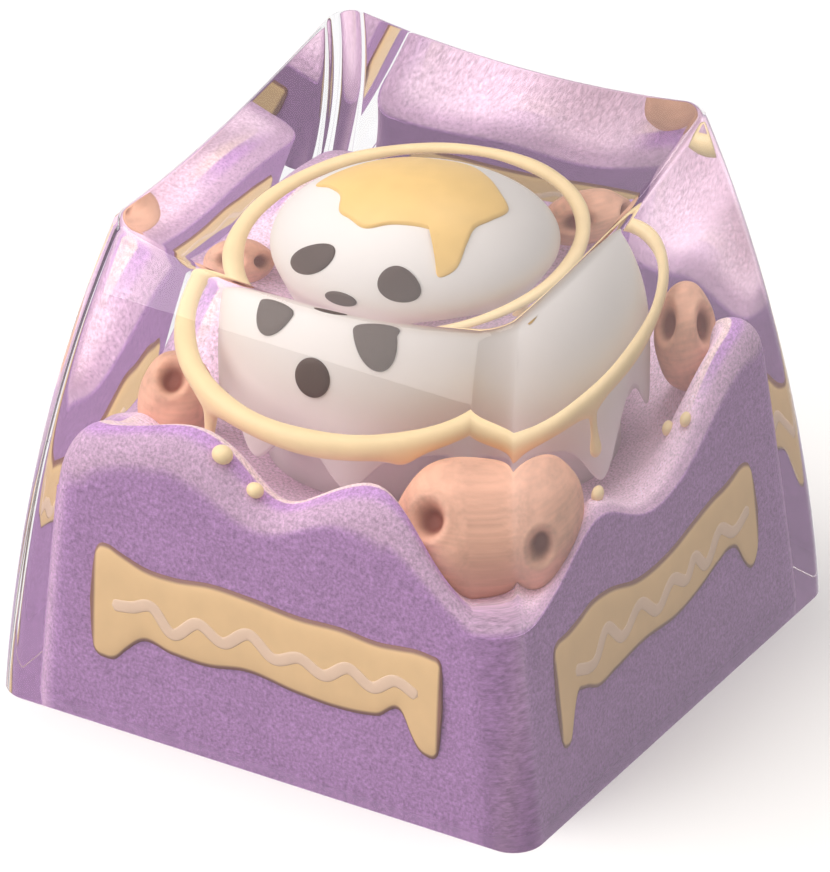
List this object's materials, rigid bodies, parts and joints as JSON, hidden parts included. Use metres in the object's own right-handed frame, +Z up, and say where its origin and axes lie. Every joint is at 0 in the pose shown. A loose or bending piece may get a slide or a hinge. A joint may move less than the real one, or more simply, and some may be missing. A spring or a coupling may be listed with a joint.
{
  "type": "keycap",
  "caption": "Clear cast keycap with a wavy purple base, a round-headed ghost ringed by icing and cratered lumps sealed inside, on a cross-socket stem.",
  "frame": {"origin": "centre of the bottom edge, on the plane that the cap rests on", "axes": "+Z up; -Y is the front, which faces the typist; +X is to the typist's right"},
  "size_m": [0.0182, 0.0182, 0.0167],
  "materials": {
    "clear_resin": "water-clear cast resin, polished, with a faint warm tint",
    "purple_print": "fine-grained purple that pales to lavender over the crests",
    "ribbon_icing": "butter yellow with a thin brown outline",
    "squiggle_white": "soft cream white",
    "ghost_white": "smooth soft white",
    "topping_yellow": "satin warm yellow",
    "mark_brown": "flat dark brown",
    "ring_icing": "satin pale yellow",
    "lump_biscuit": "biscuit brown, darker and redder inside the pits"
  },
  "bodies": {
    "root": {"clear_body": "clear_resin", "purple_base": "purple_print", "ribbon_front": "ribbon_icing", "ribbon_right": "ribbon_icing", "ribbon_back": "ribbon_icing", "ribbon_left": "ribbon_icing", "squiggle_front": "squiggle_white", "squiggle_right": "squiggle_white", "squiggle_back": "squiggle_white", "squiggle_left": "squiggle_white", "ghost_body": "ghost_white", "ghost_topping": "topping_yellow", "eye_left": "mark_brown", "eye_right": "mark_brown", "mouth": "mark_brown", "drizzle_ring": "ring_icing", "lump_front": "lump_biscuit", "lump_back": "lump_biscuit", "lump_left": "lump_biscuit", "drop_front_outer": "ring_icing", "drop_front_inner": "ring_icing", "drop_right_back": "ring_icing", "drop_right_middle": "ring_icing", "drop_right_front": "ring_icing"}
  },
  "joints": []
}
